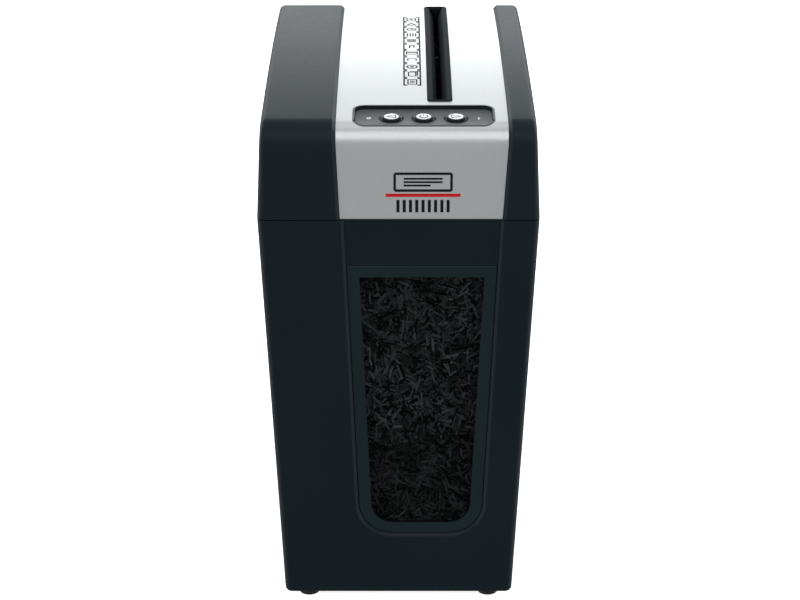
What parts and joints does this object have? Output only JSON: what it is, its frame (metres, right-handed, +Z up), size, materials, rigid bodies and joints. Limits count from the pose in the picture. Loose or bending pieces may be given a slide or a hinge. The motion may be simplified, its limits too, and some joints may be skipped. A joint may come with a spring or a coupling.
{
  "type": "paper shredder",
  "caption": "Slim upright micro-cut paper shredder: lift-off cutter head with lengthwise slot and push buttons on a tapered bin with a window.",
  "frame": {"origin": "on the floor under the middle of the machine", "axes": "+Z up, front faces -Y, +X to the right seen from the front"},
  "size_m": [0.19, 0.34, 0.3687],
  "materials": {
    "black_plastic": "satin moulded black with a slight blue cast",
    "tray_plastic": "matt moulded black",
    "silver_paint": "fine metallic silver lacquer",
    "bezel_plastic": "satin black",
    "panel_grey": "fine grained dark grey",
    "button_black": "high gloss",
    "lens_white": "frosted",
    "smoked_window": "clear smoked",
    "rubber": "matt",
    "shreds": "loose paper shreds",
    "guide_plastic": "grey nylon",
    "nylon": "natural nylon",
    "zinc_steel": "zinc plated sheet",
    "tool_steel": "hardened and oiled",
    "bronze": "sintered bronze",
    "circuit_board": "green solder mask",
    "component_black": "moulded component",
    "copper_winding": "lacquered copper wire",
    "ferrite": "sintered ferrite and carbon"
  },
  "bodies": {
    "bin": {"bin_shell": "black_plastic", "bin_window": "smoked_window", "rubber_feet": "rubber", "paper_shreds": "shreds"},
    "head": {"head_housing": "black_plastic", "silver_cover": "silver_paint", "slot_bezel": "bezel_plastic", "control_pod": "panel_grey", "status_lenses": "lens_white", "power_light": "lens_white", "control_board": "circuit_board", "tact_switches": "component_black", "paper_guide_left": "guide_plastic", "paper_guide_right": "guide_plastic", "lever_pin": "tool_steel", "lever_switch": "component_black", "lower_housing": "tray_plastic", "cover_screws": "zinc_steel", "block_screws": "zinc_steel", "front_plate": "zinc_steel", "rear_plate": "zinc_steel", "gear_bridge": "zinc_steel", "spacer_rods": "zinc_steel", "shaft_bushings": "bronze", "stripper_left": "nylon", "stripper_right": "nylon", "idler_axles": "tool_steel", "motor_can": "zinc_steel", "motor_end_cap": "component_black", "motor_magnets": "ferrite", "motor_bushings": "bronze", "motor_screws": "zinc_steel", "motor_brushes": "ferrite", "power_board": "circuit_board", "power_transformer": "copper_winding", "power_capacitors": "component_black", "power_relays": "component_black", "rocker_frame": "bezel_plastic", "cord_gland": "bezel_plastic", "interlock_switch": "component_black"},
    "button_reverse": {"button_reverse": "button_black"},
    "button_power": {"button_power": "button_black"},
    "button_forward": {"button_forward": "button_black"},
    "paper_lever": {"paper_lever": "nylon"},
    "rocker": {"rocker": "button_black"},
    "interlock_plunger": {"interlock_plunger": "nylon"},
    "motor_rotor": {"motor_shaft": "tool_steel", "motor_armature": "copper_winding", "motor_commutator": "copper_winding", "motor_fan": "component_black", "motor_pinion": "bronze"},
    "idler_first": {"idler_gear_first": "nylon"},
    "idler_second": {"idler_gear_second": "nylon"},
    "cutter_left": {"cutter_roller_left": "tool_steel", "sync_gear_left": "tool_steel", "drive_gear": "tool_steel"},
    "cutter_right": {"cutter_roller_right": "tool_steel", "sync_gear_right": "tool_steel"}
  },
  "joints": [
    {"name": "head_lift", "type": "slide", "parent": "bin", "child": "head", "axis": [0, 0, 1], "range_m": [0, 0.12]},
    {"name": "motor_spin", "type": "hinge", "parent": "head", "child": "motor_rotor", "pos_m": [-0.056, 0.07, 0.3195], "axis": [0, 1, 0], "continuous": true},
    {"name": "idler_first_spin", "type": "hinge", "parent": "head", "child": "idler_first", "pos_m": [-0.03275, 0.125, 0.3025], "axis": [0, 1, 0], "continuous": true},
    {"name": "idler_second_spin", "type": "hinge", "parent": "head", "child": "idler_second", "pos_m": [-0.01749, 0.132, 0.32832], "axis": [0, 1, 0], "continuous": true},
    {"name": "cutter_left_spin", "type": "hinge", "parent": "head", "child": "cutter_left", "pos_m": [0.0132, 0.001, 0.3095], "axis": [0, 1, 0], "continuous": true},
    {"name": "cutter_right_spin", "type": "hinge", "parent": "head", "child": "cutter_right", "pos_m": [0.0432, 0.001, 0.3095], "axis": [0, 1, 0], "continuous": true},
    {"name": "button_reverse_press", "type": "slide", "parent": "head", "child": "button_reverse", "axis": [0, 0.0802, -0.9968], "range_m": [0, 0.0008], "stiffness_N_per_m": 400},
    {"name": "button_power_press", "type": "slide", "parent": "head", "child": "button_power", "axis": [0, 0.0802, -0.9968], "range_m": [0, 0.0008], "stiffness_N_per_m": 400},
    {"name": "button_forward_press", "type": "slide", "parent": "head", "child": "button_forward", "axis": [0, 0.0802, -0.9968], "range_m": [0, 0.0008], "stiffness_N_per_m": 400},
    {"name": "paper_lever_swing", "type": "hinge", "parent": "head", "child": "paper_lever", "pos_m": [0.0355, 0.001, 0.3395], "axis": [0, -1, 0], "range_deg": [0, 22], "stiffness_Nm_per_rad": 0.002},
    {"name": "rocker_tilt", "type": "hinge", "parent": "head", "child": "rocker", "pos_m": [-0.066, 0.16159, 0.3213], "axis": [1, 0, 0], "range_deg": [0, 16]},
    {"name": "interlock_travel", "type": "slide", "parent": "head", "child": "interlock_plunger", "axis": [0, 0, -1], "range_m": [0, 0.003]}
  ],
  "couplings": [
    {"joint": "idler_first_spin", "follows": "motor_spin", "ratio": -0.2},
    {"joint": "idler_second_spin", "follows": "motor_spin", "ratio": 0.066667},
    {"joint": "cutter_left_spin", "follows": "motor_spin", "ratio": -0.022222},
    {"joint": "cutter_right_spin", "follows": "motor_spin", "ratio": 0.022222},
    {"joint": "interlock_travel", "follows": "head_lift", "ratio": 0.025}
  ]
}
